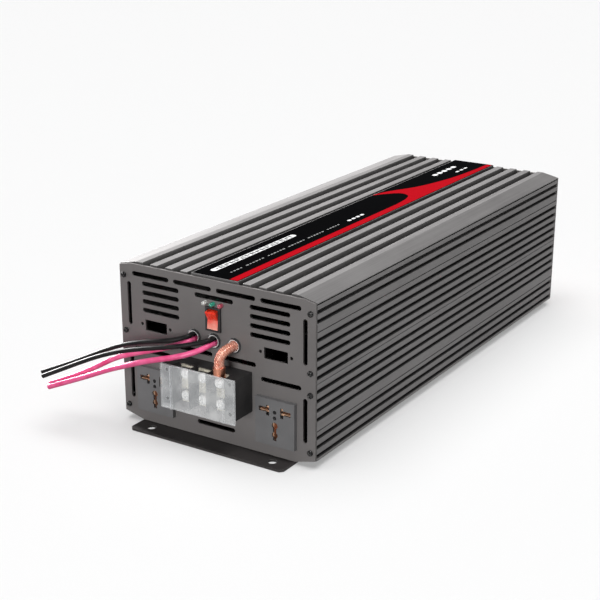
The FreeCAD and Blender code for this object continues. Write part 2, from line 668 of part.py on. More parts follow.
def make_block_hardware():
    face = FRONT - BLOCK_FLOOR
    strips, plates, screws = [], [], []
    for column, x in enumerate(pole_places()):
        blank = box((x - 6, face - 1.5, BLOCK_LEVEL - BLOCK_HEIGHT / 2 + 1),
                    (x + 6, face, BLOCK_LEVEL + BLOCK_HEIGHT / 2 - 1))
        holes = [rod((x, face - 1.5, level), TERMINAL_SHANK, 1.5) for level in screw_levels()]
        strips.append(cut(blank, holes))
        for row, level in enumerate(screw_levels()):
            lug = 1.5 if (column, row) == (2, 0) else 0
            seat = face - 1.5 - lug
            plate = box((x - 4.8, seat - 1.2, level - 4.8), (x + 4.8, seat, level + 4.8))
            plates.append(cut(plate, [rod((x, seat - 1.2, level), TERMINAL_SHANK, 1.2)]))
            top = seat - 1.2
            profile = [(0, -3.2), (3.2, -3.2), (4.3, -2.2), (4.3, 0), (TERMINAL_SHANK, 0),
                       (TERMINAL_SHANK, 9), (0, 9)]
            cross = [box((x - 2.8, top - 3.2, level - 0.5), (x + 2.8, top - 1.6, level + 0.5)),
                     box((x - 0.5, top - 3.2, level - 2.8), (x + 0.5, top - 1.6, level + 2.8))]
            screws.append(cut(turned(profile, (x, top, level)), cross))
    node("block_contacts", group(strips))
    node("block_plates", group(plates))
    node("block_screws", group(screws))
    fixings = []
    for side in (1, -1):
        ear = (BLOCK_EAR * side, FRONT, BLOCK_LEVEL)
        bolt = [(0, -9.4), (2.6, -9.4), (3.6, -8.4), (3.6, -6), (2, -6), (2, 6.5), (0, 6.5)]
        nut_end = PANEL_THICK + 3
        nut = [(2, PANEL_THICK), (4, PANEL_THICK), (4, nut_end), (2, nut_end)]
        fixings += [turned(bolt, ear), turned(nut, ear)]
    node("block_fixings", group(fixings))


def make_lug():
    """Crimped ring lug on the copper lead, clamped under the upper screw of the third pole."""
    x, level = POLE_PITCH, screw_levels()[0]
    seat = FRONT - BLOCK_FLOOR - 1.5
    eye = rod((x, seat - 1.5, level), 5.2, 1.5)
    tongue = box((x - 3.4, seat - 1.5, level), (x + 3.4, seat, level + 8.5))
    barrel = rod((x, FRONT - LUG_STANDOFF, level + 7), COPPER_RADIUS + 0.9, 7, "z")
    inside = rod((x, FRONT - LUG_STANDOFF, level + 11), COPPER_RADIUS + 0.05, 3, "z")
    hole = rod((x, seat - 1.5, level), TERMINAL_SHANK, 1.5)
    node("lead_lug", cut(fuse([eye, tongue, barrel]), [inside, hole]))


def make_block_cover():
    low, high = BLOCK_LEVEL - BLOCK_HEIGHT / 2 - 3.5, BLOCK_LEVEL + BLOCK_HEIGHT / 2 + 0.5
    half = BLOCK_WIDTH / 2
    near = FRONT - BLOCK_DEPTH - 0.1
    parts = [box((-half, near - COVER_THICK, low), (half, near, high))]
    for side in (1, -1):
        x = POLE_PITCH * 1.5 * side
        parts.append(box((x - 0.6, near - COVER_THICK - 0.8, low), (x + 0.6, near - COVER_THICK, high)))
        for up in (1, -1):
            parts.append(rod((BLOCK_EAR * side, near - 0.1, BLOCK_LEVEL + 13 * up), 1.6, 6))
    node("block_cover", fuse(parts))


# ------------------------------------------------------------------ mains sockets
PIN_LEVEL = 10.6
POCKET_START = 2
POCKET_END = 14
CONTACT_LEAF = 1.6


def beside_box(middle, side, reach, depth, levels):
    """Block on one side of a middle line, given its two reaches, its two depths and its two levels."""
    inner, outer = middle + reach[0] * side, middle + reach[1] * side
    low, high = (inner, outer) if side == 1 else (outer, inner)
    return box((low, depth[0], levels[0]), (high, depth[1], levels[1]))


def socket_openings(middle, deep):
    """Cutters for a universal socket face: two T-shaped openings, two pin holes, an earth opening."""
    face = FRONT - SOCKET_RIM
    depth = (face, face + deep)
    tools = []
    for side in (1, -1):
        upright = (SOCKET_LEVEL + PIN_LEVEL - 5, SOCKET_LEVEL + PIN_LEVEL + 4)
        level_bar = (SOCKET_LEVEL + PIN_LEVEL - 2, SOCKET_LEVEL + PIN_LEVEL + 2)
        tools.append(beside_box(middle, side, (5.4, 8.4), depth, upright))
        tools.append(beside_box(middle, side, (8, 15.4), depth, level_bar))
    tools += [rod((middle, face, SOCKET_LEVEL + up), 1.7, 6) for up in (9.6, 4.5)]
    tools += [rod((middle, face, SOCKET_LEVEL - down), 2.9, deep) for down in (2.2, 10.8)]
    tools.append(box((middle - 1.7, face, SOCKET_LEVEL - 15.6),
                     (middle + 1.7, face + deep, SOCKET_LEVEL - 2)))
    return tools


def pin_contact(middle, side):
    """Pocket behind a T-shaped opening and the two-leaf spring contact across it."""
    start, end = FRONT - POCKET_START, FRONT + POCKET_END
    level = SOCKET_LEVEL + PIN_LEVEL
    pocket = beside_box(middle, side, (5.2, 15.8), (start, end), (level - 5.3, level + 4.3))
    leaves = beside_box(middle, side, (5.2, 15.8), (start + 0.1, end), (level - 2.8, level + 2.8))
    mouth_half = 2.8 - CONTACT_LEAF
    mouth = beside_box(middle, side, (5, 16), (start + 0.1, end - CONTACT_LEAF),
                       (level - mouth_half, level + mouth_half))
    return pocket, cut(leaves, [mouth])


def earth_contact(middle):
    """Pocket behind the earth opening and its upright two-leaf contact."""
    start, end = FRONT - POCKET_START, FRONT + POCKET_END
    low, high = SOCKET_LEVEL - 15.8, SOCKET_LEVEL - 0.2
    pocket = box((middle - 3.4, start, low), (middle + 3.4, end, high))
    leaves = box((middle - 3.4, start + 0.1, low), (middle + 3.4, end, high))
    mouth_half = 3.4 - CONTACT_LEAF
    mouth = box((middle - mouth_half, start + 0.1, low - 0.2),
                (middle + mouth_half, end - CONTACT_LEAF, high + 0.2))
    return pocket, cut(leaves, [mouth])


def make_sockets():
    wide, tall = SOCKET_WIDTH / 2, SOCKET_HEIGHT / 2
    for label, side in (("socket_right", 1), ("socket_left", -1)):
        middle = SOCKET_PLACE * side
        plate = box((middle - wide, FRONT - SOCKET_RIM, SOCKET_LEVEL - tall),
                    (middle + wide, FRONT, SOCKET_LEVEL + tall))
        back = box((middle - SOCKET_BODY[0], FRONT, SOCKET_LEVEL - SOCKET_BODY[1]),
                   (middle + SOCKET_BODY[0], FRONT + 18, SOCKET_LEVEL + SOCKET_BODY[1]))
        pairs = [pin_contact(middle, 1), pin_contact(middle, -1), earth_contact(middle)]
        tools = socket_openings(middle, SOCKET_RIM + 0.5)
        node(label, cut(fuse([plate, back]), tools + [pocket for pocket, contact in pairs]))
        node(f"{label}_contacts", group([contact for pocket, contact in pairs]))


# ------------------------------------------------------------------ fan and guard
FAN_CORNER = 3
HUB_RADIUS = 20
STRUT_ANGLES = (142, 52, -38, -128)
STRUT_OFFSET = 15.6


def fan_corners():
    """Centres of the four holes at the corners of the fan."""
    reach = FAN_HOLE_SPAN / 2
    return [(reach * side, FAN_LEVEL + reach * up) for side in (1, -1) for up in (1, -1)]


def strut_turn(angle):
    return FreeCAD.Rotation(FreeCAD.Vector(0, 1, 0), -angle)


def beside_strut(angle, along, shift=0.0):
    """Place beside the fan centre: a distance along a strut, and a shift away from its middle line."""
    return strut_turn(angle).multVec(FreeCAD.Vector(along, 0, -STRUT_OFFSET - shift))


def strut_block(angle, start, end, half, depth):
    """Block along a strut on the rear side of the fan."""
    rear = REAR - PANEL_THICK
    block = box((0, rear - depth, 0), (end - start, rear, 2 * half))
    corner = beside_strut(angle, start, half)
    return place(block, (corner.x, rear - depth, FAN_LEVEL + corner.z), strut_turn(angle))


def make_fan_frame():
    rear = REAR - PANEL_THICK
    front = rear - FAN_DEPTH
    half = FAN_SIZE / 2
    corner = half - FAN_CORNER
    flange = 4
    square = [(-corner, -half), (corner, -half), (half, -corner), (half, corner),
              (corner, half), (-corner, half), (-half, corner), (-half, -corner)]
    parts = [prism(square, "XZ_Plane", flange, (0, start, FAN_LEVEL)) for start in (front, rear - flange)]
    parts.append(rod((0, front, FAN_LEVEL), half - 0.2, FAN_DEPTH))
    tools = [rod((0, front, FAN_LEVEL), FAN_BORE, FAN_DEPTH)]
    tools += [rod((x, front, level), 2.1, FAN_DEPTH) for x, level in fan_corners()]
    shroud = cut(fuse(parts), tools)
    hub = rod((0, rear - 4, FAN_LEVEL), HUB_RADIUS, 4)
    struts = [strut_block(angle, 5, 57, 2.5, 3.5) for angle in STRUT_ANGLES]
    # The fan leads lie in a channel along the first strut, cut on through the rear flange.
    channel = strut_block(STRUT_ANGLES[0], 0, 90, 1.6, 2.4)
    axle = rod((0, rear - 19, FAN_LEVEL), 2, 15)
    node("fan_frame", fuse([cut(fuse([shroud, hub] + struts), [channel]), axle]))


BLADE_COUNT = 7
# Sections of a fan blade from its root to its tip: radius, chord, pitch in degrees and thickness.
BLADE_SECTIONS = ((18.0, 20.0, 48.0, 2.0), (37.0, 25.0, 38.0, 1.8), (56.6, 29.0, 30.0, 1.5))


def blade_shape(angle):
    """One twisted fan blade, lofted in code because no primitive is twisted."""
    rear = REAR.value - PANEL_THICK.value
    middle_y = rear - 14
    sections = []
    for radius, chord, pitch, thick in BLADE_SECTIONS:
        lean = math.radians(pitch)
        along = FreeCAD.Vector(0, math.sin(lean), math.cos(lean))
        across = FreeCAD.Vector(0, math.cos(lean), -math.sin(lean))
        corners = []
        for u, v in ((-1, -1), (1, -1), (1, 1), (-1, 1)):
            centre = FreeCAD.Vector(radius, 0, 0)
            corners.append(centre + along * (u * chord / 2) + across * (v * thick / 2))
        sections.append(Part.makePolygon(corners + corners[:1]))
    shape = Part.makeLoft(sections, True, True)
    shape.rotate(FreeCAD.Vector(0, 0, 0), FreeCAD.Vector(0, 1, 0), angle)
    shape.translate(FreeCAD.Vector(0, middle_y, FAN_LEVEL.value))
    return shape


def make_fan_rotor():
    rear = REAR - PANEL_THICK
    hub_front = rear - 23.5
    hub = turned([(2.05, 2), (2.05, 18.5), (19.5, 18.5), (19.5, 1), (18.5, 0), (0, 0), (0, 2)],
                 (0, hub_front, FAN_LEVEL))
    document.recompute()
    blades = document.addObject("Part::Feature", "blades")
    blades.Shape = Part.makeCompound([blade_shape(360 / BLADE_COUNT * k) for k in range(BLADE_COUNT)])
    swept = rod((0, rear - 24, FAN_LEVEL), FAN_BORE - 1.2, 19.6)
    ring_space = cut(swept, [rod((0, rear - 24, FAN_LEVEL), 18.5, 19.6)])
    trimmed = document.addObject("Part::Common", "trimmed")
    trimmed.Base = blades
    trimmed.Tool = ring_space
    node("fan_rotor", fuse([hub, trimmed]))


def make_fan_details():
    rear = REAR - PANEL_THICK
    node("fan_hub_label", rod((0, rear, FAN_LEVEL), 14, 0.2))
    # The two fan leads run along the first strut, over the top of the fan and down to the board.
    along_strut = (3, 15, 27, 39, 51, 63, 71, 76, 80)
    over_fan = (3.5, 8, 20, 30)
    down_to_board = ((40, 134), (43, 118), (43.5, 80), (43.5, 50), (43.5, 24))
    leads = []
    for shift in (-0.75, 0.75):
        points = []
        for along in along_strut:
            spot = beside_strut(STRUT_ANGLES[0], along, shift)
            points.append((spot.x, rear - 1.2, FAN_LEVEL + spot.z))
        x = -55 + shift * 1.2
        points += [(x, rear - back, FAN_LEVEL + 61.9) for back in over_fan]
        points += [(x, rear - back, level) for back, level in down_to_board]
        leads.append(pipe(points, 0.7))
    node("fan_leads", group(leads))


def make_fan_guard():
    plane = REAR + GUARD_STANDOFF
    wire = RING_WIRE
    parts = [ring((0, plane, FAN_LEVEL), RING_FIRST + RING_PITCH * k, wire) for k in range(7)]
    rod_wire = 1.0
    reach = FAN_HOLE_SPAN.value / math.sqrt(2)
    bend, foot = 62.0, 69.0
    for angle in (45, 135, 225, 315):
        outward = FreeCAD.Vector(math.cos(math.radians(angle)), 0, math.sin(math.radians(angle)))
        flat = rod((0, 0, 0), rod_wire, bend - 15.2)
        turn = FreeCAD.Rotation(FreeCAD.Vector(0, 0, 1), outward)
        start = outward * 15.2
        place(flat, (start.x, plane - 0.9, FAN_LEVEL + start.z), turn)
        drop = GUARD_STANDOFF.value - 0.9 - rod_wire
        slant = FreeCAD.Vector(outward.x * (foot - bend), -drop, outward.z * (foot - bend))
        leg = rod((0, 0, 0), rod_wire, slant.Length)
        knee = outward * bend
        place(leg, (knee.x, plane - 0.9, FAN_LEVEL + knee.z),
              FreeCAD.Rotation(FreeCAD.Vector(0, 0, 1), slant))
        eye = outward * reach
        heel = outward * foot
        parts += [flat, leg, ball((knee.x, plane - 0.9, FAN_LEVEL + knee.z), rod_wire),
                  ball((heel.x, REAR + rod_wire, FAN_LEVEL + heel.z), rod_wire),
                  ring((eye.x, REAR + rod_wire, FAN_LEVEL + eye.z), reach - foot - 0.6, rod_wire)]
    node("fan_guard", fuse(parts))
    screws, nuts = [], []
    nut_start = -PANEL_THICK - 4 - 3.2
    nut_end = nut_start + 3.2
    for x, level in fan_corners():
        centre = (x, REAR, level)
        profile = [(0, 4.8), (2.8, 4.8), (4.3, 3.7), (4.3, 2 * rod_wire), (2, 2 * rod_wire),
                   (2, -13), (0, -13)]
        cross = [box((x - 2.2, REAR + 3.2, level - 0.45), (x + 2.2, REAR + 4.8, level + 0.45)),
                 box((x - 0.45, REAR + 3.2, level - 2.2), (x + 0.45, REAR + 4.8, level + 2.2))]
        screws.append(cut(turned(profile, centre), cross))
        nuts.append(turned([(2, nut_start), (4, nut_start), (4, nut_end), (2, nut_end)], centre))
    node("guard_screws", group(screws))
    node("guard_nuts", group(nuts))


# ------------------------------------------------------------------ battery posts
BASE_LENGTH = 9.5
WASHER_THICK = 1.5


def make_posts():
    """Four screw-cap posts; each profile is drawn as (radius, distance out from the panel's face)."""
    inner = -PANEL_THICK
    cap_start = BASE_LENGTH + WASHER_THICK
    end = CAP_LENGTH + cap_start
    bore = STUD_RADIUS + THREAD_GAP
    base = [(STUD_RADIUS, inner), (POST_COLLAR, inner), (POST_COLLAR, 0), (12.5, 0), (12.5, 2.6),
            (11.8, 3.2), (11, 3.2), (11, 7.6), (9.6, BASE_LENGTH), (STUD_RADIUS, BASE_LENGTH)]
    stud = [(0, -17), (STUD_RADIUS, -17), (STUD_RADIUS, 29), (STUD_RADIUS - 1, 30), (0, 30)]
    insulator = [(STUD_RADIUS, inner - 3), (11, inner - 3), (11, inner), (STUD_RADIUS, inner)]
    nut = [(STUD_RADIUS, inner - 11.5), (7, inner - 11.5), (7, inner - 5), (STUD_RADIUS, inner - 5)]
    washer = [(bore, BASE_LENGTH), (9, BASE_LENGTH), (9, cap_start), (bore, cap_start)]
    cap = [(bore, cap_start), (CAP_RADIUS - 0.8, cap_start), (CAP_RADIUS, cap_start + 0.8),
           (CAP_RADIUS, cap_start + 9), (CAP_RADIUS - 0.5, end - 3.5), (CAP_RADIUS - 1.3, end - 1),
           (CAP_RADIUS - 2.6, end), (0, end), (0, end - 3), (bore, end - 3)]
    studs, insulators, nuts = [], [], []
    for colour, side in (("red", 1), ("black", -1)):
        bases = []
        for position, (x, level) in zip(("upper", "lower"), post_places(side)):
            origin = (x, REAR, level)
            bases.append(turned(base, origin))
            studs.append(turned(stud, origin))
            insulators.append(turned(insulator, origin))
            nuts.append(turned(nut, origin))
            node(f"{colour}_washer_{position}", turned(washer, origin))
            node(f"{colour}_cap_{position}", turned(cap, origin))
        node(f"{colour}_post_bases", group(bases))
    node("post_studs", group(studs))
    node("post_insulators", group(insulators))
    node("post_nuts", group(nuts))
    straps = []
    for side in (1, -1):
        face = REAR - PANEL_THICK - 3
        bottom = BOARD_LEVEL + BOARD_THICK
        x = POST_PLACE * side
        upright = box((x - 9, face - 2, bottom), (x + 9, face, POST_LEVEL + POST_SPAN / 2 + 10))
        flat = box((x - 9, REAR - 60, bottom), (x + 9, face - 2, bottom + 2))
        holes = [rod((x, face - 2, level), STUD_RADIUS, 2) for x, level in post_places(side)]
        straps.append(cut(fuse([upright, flat]), holes))
    node("bus_straps", group(straps))


# ------------------------------------------------------------------ inside
def make_board():
    edge = INNER_HALF - 0.6
    node("main_board", box((-edge, FRONT + 40, BOARD_LEVEL),
                           (edge, REAR - 42, BOARD_LEVEL + BOARD_THICK)))


def make_transformers():
    floor = BOARD_LEVEL + BOARD_THICK
    cores, windings = [], []
    for y in (-70, 0, 70):
        blank = box((-28, y - 12, floor), (28, y + 12, floor + 50))
        windows = [box((9, y - 12, floor + 8), (20, y + 12, floor + 42)),
                   box((-20, y - 12, floor + 8), (-9, y + 12, floor + 42))]
        cores.append(cut(blank, windows))
        coil = box((-19.8, y - 21, floor + 8.2), (19.8, y + 21, floor + 41.8))
        windings.append(cut(coil, [box((-9, y - 12, floor + 8.2), (9, y + 12, floor + 41.8))]))
    node("transformer_cores", group(cores))
    node("transformer_windings", group(windings))


def make_capacitors():
    floor = BOARD_LEVEL + BOARD_THICK
    cans = []
    for x in (-45, -15, 15, 45):
        cans.append(rod((x, 150, floor), 9, 40, "z"))
    for x in (-58, -20, 20, 58):
        cans.append(rod((x, -135, floor), 15, 50, "z"))
    node("capacitors", group(cans))


def make_power_devices():
    floor = BOARD_LEVEL + BOARD_THICK
    devices, bars = [], []
    for side in (1, -1):
        wall = INNER_HALF * side
        inner = (INNER_HALF - 4.6) * side
        for k in range(8):
            y = -140 + 38 * k
            near, far = (inner, wall) if side == 1 else (wall, inner)
            case = box((near, y - 5, 34), (far, y + 5, 54))
            leg_far = (INNER_HALF - 3.2) * side
            leg_near, leg_end = (inner, leg_far) if side == 1 else (leg_far, inner)
            legs = [box((leg_near, y + shift - 0.4, floor), (leg_end, y + shift + 0.4, 34))
                    for shift in (-2.5, 0, 2.5)]
            devices.append(fuse([case] + legs))
        bar_inner = (INNER_HALF - 8) * side
        near, far = (bar_inner, inner) if side == 1 else (inner, bar_inner)
        bars.append(box((near, -150, 40), (far, 136, 48)))
    node("power_devices", group(devices))
    node("clamp_bars", group(bars))


# ------------------------------------------------------------------ build everything
make_shells()
make_feet()
make_screws()
make_front_panel()
make_rear_panel()
make_top_label()
make_switch()
make_lamps()
make_grommets()
make_leads()
make_copper_lead()
make_lug()
make_block_base()
make_block_hardware()
make_block_cover()
make_sockets()
make_fan_frame()
make_fan_rotor()
make_fan_details()
make_fan_guard()
make_posts()
make_board()
make_transformers()
make_capacitors()
make_power_devices()

document.recompute()

for thing in document.Objects:
    troubled = [word for word in thing.State if word in ("Invalid", "Error")]
    if troubled:
        raise RuntimeError(f"{thing.Label}: {troubled}")

os.makedirs("parts", exist_ok=True)
for thing in finished_nodes:
    shape = thing.Shape
    if shape.isNull() or not shape.isValid() or not shape.Solids:
        raise RuntimeError(f"{thing.Label}: bad shape")
    shape.exportStep(f"parts/{thing.Label}.step")
    bounds = shape.BoundBox
    print(f"{thing.Label:24s} solids {len(shape.Solids):2d} volume {shape.Volume / 1000:9.2f} cm3 "
          f"x {bounds.XMin:7.1f}..{bounds.XMax:7.1f} y {bounds.YMin:7.1f}..{bounds.YMax:7.1f} "
          f"z {bounds.ZMin:6.1f}..{bounds.ZMax:6.1f}")
print("nodes", len(finished_nodes))
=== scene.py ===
import json
import math

import bmesh
import bpy
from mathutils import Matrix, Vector


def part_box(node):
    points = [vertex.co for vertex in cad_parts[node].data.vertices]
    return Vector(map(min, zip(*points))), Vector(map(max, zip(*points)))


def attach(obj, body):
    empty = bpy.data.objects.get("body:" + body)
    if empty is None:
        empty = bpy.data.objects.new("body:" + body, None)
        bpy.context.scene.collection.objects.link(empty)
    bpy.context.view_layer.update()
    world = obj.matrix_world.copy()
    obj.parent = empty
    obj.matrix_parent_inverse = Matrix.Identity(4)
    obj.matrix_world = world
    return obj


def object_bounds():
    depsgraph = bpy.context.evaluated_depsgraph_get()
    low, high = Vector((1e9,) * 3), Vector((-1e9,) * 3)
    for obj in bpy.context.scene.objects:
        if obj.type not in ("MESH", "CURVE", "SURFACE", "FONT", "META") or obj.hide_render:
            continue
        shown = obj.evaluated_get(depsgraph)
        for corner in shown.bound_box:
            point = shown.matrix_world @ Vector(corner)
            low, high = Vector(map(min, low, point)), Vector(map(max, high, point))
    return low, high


# Looks of the power inverter: a material for every part, the printing on the label and the
# fan hub, then the floor, the lights and the camera.

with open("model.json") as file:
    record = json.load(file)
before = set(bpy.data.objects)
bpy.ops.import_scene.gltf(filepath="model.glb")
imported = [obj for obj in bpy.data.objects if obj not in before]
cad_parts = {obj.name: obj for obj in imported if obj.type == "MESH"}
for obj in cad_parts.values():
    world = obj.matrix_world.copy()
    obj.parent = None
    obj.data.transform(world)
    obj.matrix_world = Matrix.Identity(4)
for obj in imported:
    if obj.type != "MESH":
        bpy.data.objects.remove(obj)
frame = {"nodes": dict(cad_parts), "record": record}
nodes = frame["nodes"]
record = frame["record"]
cad_low, cad_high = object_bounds()
MM = 0.001


# ------------------------------------------------------------------ material building blocks

class Recipe:
    """A node material being put together, with short calls for the nodes used again and again."""

    def __init__(self, name, metallic=0.0, **settings):
        self.material = bpy.data.materials.new(name)
        self.material.use_nodes = True
        self.tree = self.material.node_tree
        self.shader = self.tree.nodes["Principled BSDF"]
        self.place = self.tree.nodes.new("ShaderNodeTexCoord").outputs["Object"]
        self.set("Metallic", metallic)
        for key, value in settings.items():
            self.set(key.replace("_", " "), value)

    def wire(self, socket, value):
        """Link a node output into a socket, or set a plain value."""
        if isinstance(value, bpy.types.NodeSocket):
            self.tree.links.new(value, socket)
        elif isinstance(value, (tuple, list)) and len(value) == 3 and socket.type == "RGBA":
            socket.default_value = (*value, 1.0)
        else:
            socket.default_value = value

    def set(self, name, value):
        self.wire(self.shader.inputs[name], value)

    def stretched(self, stretch, turn=(0.0, 0.0, 0.0)):
        """Object coordinates in metres, scaled on each axis."""
        node = self.tree.nodes.new("ShaderNodeMapping")
        self.wire(node.inputs["Vector"], self.place)
        node.inputs["Scale"].default_value = stretch
        node.inputs["Rotation"].default_value = turn
        return node.outputs["Vector"]

    def noise(self, stretch, detail=3.0, roughness=0.5, turn=(0.0, 0.0, 0.0)):
        """Cloudy noise; stretch is how many cells it has per metre along each axis."""
        if isinstance(stretch, (int, float)):
            stretch = (stretch, stretch, stretch)
        node = self.tree.nodes.new("ShaderNodeTexNoise")
        self.wire(node.inputs["Vector"], self.stretched(stretch, turn))
        node.inputs["Scale"].default_value = 1.0
        node.inputs["Detail"].default_value = detail
        node.inputs["Roughness"].default_value = roughness
        return node.outputs["Fac"]

    def specks(self, scale):
        """Distance to scattered points, for grains and pits."""
        node = self.tree.nodes.new("ShaderNodeTexVoronoi")
        self.wire(node.inputs["Vector"], self.place)
        node.inputs["Scale"].default_value = scale
        return node.outputs["Distance"]

    def waves(self, scale, axis, distortion):
        """Stripes across one axis, bent by the distortion."""
        node = self.tree.nodes.new("ShaderNodeTexWave")
        node.bands_direction = axis
        self.wire(node.inputs["Vector"], self.place)
        node.inputs["Scale"].default_value = scale
        node.inputs["Distortion"].default_value = distortion
        return node.outputs["Fac"]

    def span(self, value, low, high, to_low=0.0, to_high=1.0):
        """Move a value from one range to another, clamped."""
        node = self.tree.nodes.new("ShaderNodeMapRange")
        self.wire(node.inputs["Value"], value)
        settings = (("From Min", low), ("From Max", high), ("To Min", to_low), ("To Max", to_high))
        for key, number in settings:
            node.inputs[key].default_value = number
        return node.outputs["Result"]

    def mix(self, share, first, second):
        """Colour between two colours."""
        node = self.tree.nodes.new("ShaderNodeMix")
        node.data_type = "RGBA"
        self.wire(node.inputs["Factor"], share)
        self.wire(node.inputs[6], first)
        self.wire(node.inputs[7], second)
        return node.outputs[2]

    def join(self, operation, first, second):
        """Arithmetic on two values."""
        node = self.tree.nodes.new("ShaderNodeMath")
        node.operation = operation
        self.wire(node.inputs[0], first)
        self.wire(node.inputs[1], second)
        return node.outputs[0]

    def part_of(self, axis):
        """One coordinate, in metres."""
        node = self.tree.nodes.new("ShaderNodeSeparateXYZ")
        self.wire(node.inputs[0], self.place)
        return node.outputs[axis]

    def ray_is(self, kind):
        """1 for one kind of ray (Camera, Glossy, Shadow), 0 for the others."""
        return self.tree.nodes.new("ShaderNodeLightPath").outputs[f"Is {kind} Ray"]

    def openness(self, reach):
        """1 on open faces, falling towards 0 deep in grooves narrower than the reach."""
        node = self.tree.nodes.new("ShaderNodeAmbientOcclusion")
        node.samples = 4
        node.inputs["Distance"].default_value = reach
        return node.outputs["AO"]

    def bevel(self, radius):
        """Normal of an edge rounded by a radius."""
        node = self.tree.nodes.new("ShaderNodeBevel")
        node.samples = 4
        node.inputs["Radius"].default_value = radius
        return node.outputs["Normal"]

    def edges(self, radius):
        """1 on the outer edges of the part, 0 on its faces."""
        rounded = self.bevel(radius)
        true_normal = self.tree.nodes.new("ShaderNodeNewGeometry").outputs["True Normal"]
        node = self.tree.nodes.new("ShaderNodeVectorMath")
        node.operation = "DOT_PRODUCT"
        self.wire(node.inputs[0], rounded)
        self.wire(node.inputs[1], true_normal)
        return self.span(node.outputs["Value"], 0.99, 0.80)

    def relief(self, height, depth, normal=None):
        """Bump of a height map, depth in metres."""
        node = self.tree.nodes.new("ShaderNodeBump")
        node.inputs["Strength"].default_value = 1.0
        node.inputs["Distance"].default_value = depth
        self.wire(node.inputs["Height"], height)
        if normal is not None:
            self.wire(node.inputs["Normal"], normal)
        self.set("Normal", node.outputs["Normal"])


EDGE = 0.35 * MM
GROOVE_REACH = 9 * MM


# ------------------------------------------------------------------ metals

def anodised_aluminium():
    """Graphite satin extrusion: draw lines along the case, painted shade in the grooves, slightly worn
    edges.
    """
    look = Recipe("anodised_graphite", metallic=0.55)
    draw_lines = look.noise((900, 5, 900), detail=4, roughness=0.7)
    clouds = look.noise(14, detail=4)
    grain = look.noise(2600, detail=2)
    tone = look.mix(look.span(clouds, 0.3, 0.7), (0.215, 0.207, 0.206), (0.270, 0.261, 0.260))
    tone = look.mix(look.span(draw_lines, 0.35, 0.75, 0.0, 0.35), tone, (0.43, 0.42, 0.42))
    worn = look.join("MULTIPLY", look.edges(EDGE), look.span(look.noise(160), 0.35, 0.65, 0.1, 0.65))
    # Painted shade: the base colour turns near black deep in the grooves.
    tone = look.mix(look.span(look.openness(GROOVE_REACH), 0.62, 0.96), (0.028, 0.027, 0.027), tone)
    look.set("Base Color", look.mix(worn, tone, (0.62, 0.61, 0.605)))
    look.set("Roughness", look.span(draw_lines, 0.2, 0.8, 0.40, 0.54))
    surface = look.join("ADD", look.join("MULTIPLY", draw_lines, 1.5), grain)
    look.relief(surface, 0.012 * MM, look.bevel(EDGE))
    return look.material


def powder_coat(name, low, high, edge, roughness):
    """Fine-textured coat on sheet metal, rubbed lighter at its edges."""
    look = Recipe(name, metallic=0.15)
    clouds = look.noise(22, detail=4)
    pebbles = look.noise(3200, detail=2, roughness=0.6)
    tone = look.mix(look.span(clouds, 0.3, 0.7), low, high)
    tone = look.mix(look.span(pebbles, 0.45, 0.75, 0.0, 0.25), tone, edge)
    worn = look.join("MULTIPLY", look.edges(EDGE), look.span(look.noise(210), 0.35, 0.62, 0.15, 0.8))
    look.set("Base Color", look.mix(worn, tone, edge))
    look.set("Roughness", look.span(pebbles, 0.3, 0.7, roughness - 0.05, roughness + 0.07))
    look.relief(pebbles, 0.02 * MM, look.bevel(EDGE))
    return look.material


def bare_metal(name, colour, dull, roughness, streak=(700, 700, 700), depth=0.01, metallic=1.0):
    """Plated or turned metal with tarnish clouds, fine tool marks and rounded edges."""
    look = Recipe(name, metallic)
    marks = look.noise(streak, detail=3, roughness=0.6)
    clouds = look.noise(90, detail=4)
    look.set("Base Color", look.mix(look.span(clouds, 0.35, 0.7), colour, dull))
    look.set("Roughness", look.span(marks, 0.3, 0.7, roughness, roughness + 0.14))
    look.relief(marks, depth * MM, look.bevel(0.2 * MM))
    return look.material


def black_oxide():
    """Blackened screws with lighter edges: a painted highlight, partly also rubbing by a driver."""
    look = Recipe("black_oxide", metallic=0.8)
    clouds = look.noise(420, detail=3)
    # Painted highlight on the screw edges, partly also wear.
    wear_and_highlight = look.join("MULTIPLY", look.edges(0.25 * MM), look.span(clouds, 0.3, 0.6))
    look.set("Base Color", look.mix(wear_and_highlight, (0.020, 0.020, 0.021), (0.85, 0.84, 0.82)))
    look.set("Roughness", look.span(clouds, 0.3, 0.7, 0.30, 0.46))
    look.relief(clouds, 0.015 * MM, look.bevel(0.2 * MM))
    return look.material


def stranded_copper(sleeve_start):
    """Copper strands twisted round the lead, with a black sleeve behind the place sleeve_start."""
    look = Recipe("stranded_copper", metallic=0.25, Coat_Weight=0.5, Coat_Roughness=0.15)
    strands = look.waves(230, "DIAGONAL", 2.5)
    clouds = look.noise(260, detail=5)
    tone = look.mix(look.span(clouds, 0.35, 0.65), (0.74, 0.20, 0.12), (0.97, 0.52, 0.39))
    copper = look.mix(look.span(strands, 0.0, 0.5, 0.5, 0.0), tone, (0.36, 0.07, 0.04))
    sleeved = look.span(look.part_of("Y"), sleeve_start, sleeve_start + 0.2 * MM)
    look.set("Base Color", look.mix(sleeved, copper, (0.010, 0.009, 0.009)))
    look.set("Roughness", look.span(clouds, 0.3, 0.7, 0.20, 0.36))
    look.relief(strands, 0.30 * MM)
    return look.material


# ------------------------------------------------------------------ plastics, rubber and glass

def moulded(name, low, high, roughness, grain=2400, depth=0.02, **settings):
    """Moulded plastic: faint tone clouds, spark-eroded grain and soft edges."""
    look = Recipe(name, **settings)
    clouds = look.noise(55, detail=3)
    texture = look.noise(grain, detail=2)
    look.set("Base Color", look.mix(look.span(clouds, 0.3, 0.7), low, high))
    look.set("Roughness", look.span(texture, 0.3, 0.7, roughness - 0.04, roughness + 0.08))
    look.relief(texture, depth * MM, look.bevel(EDGE))
    return look.material


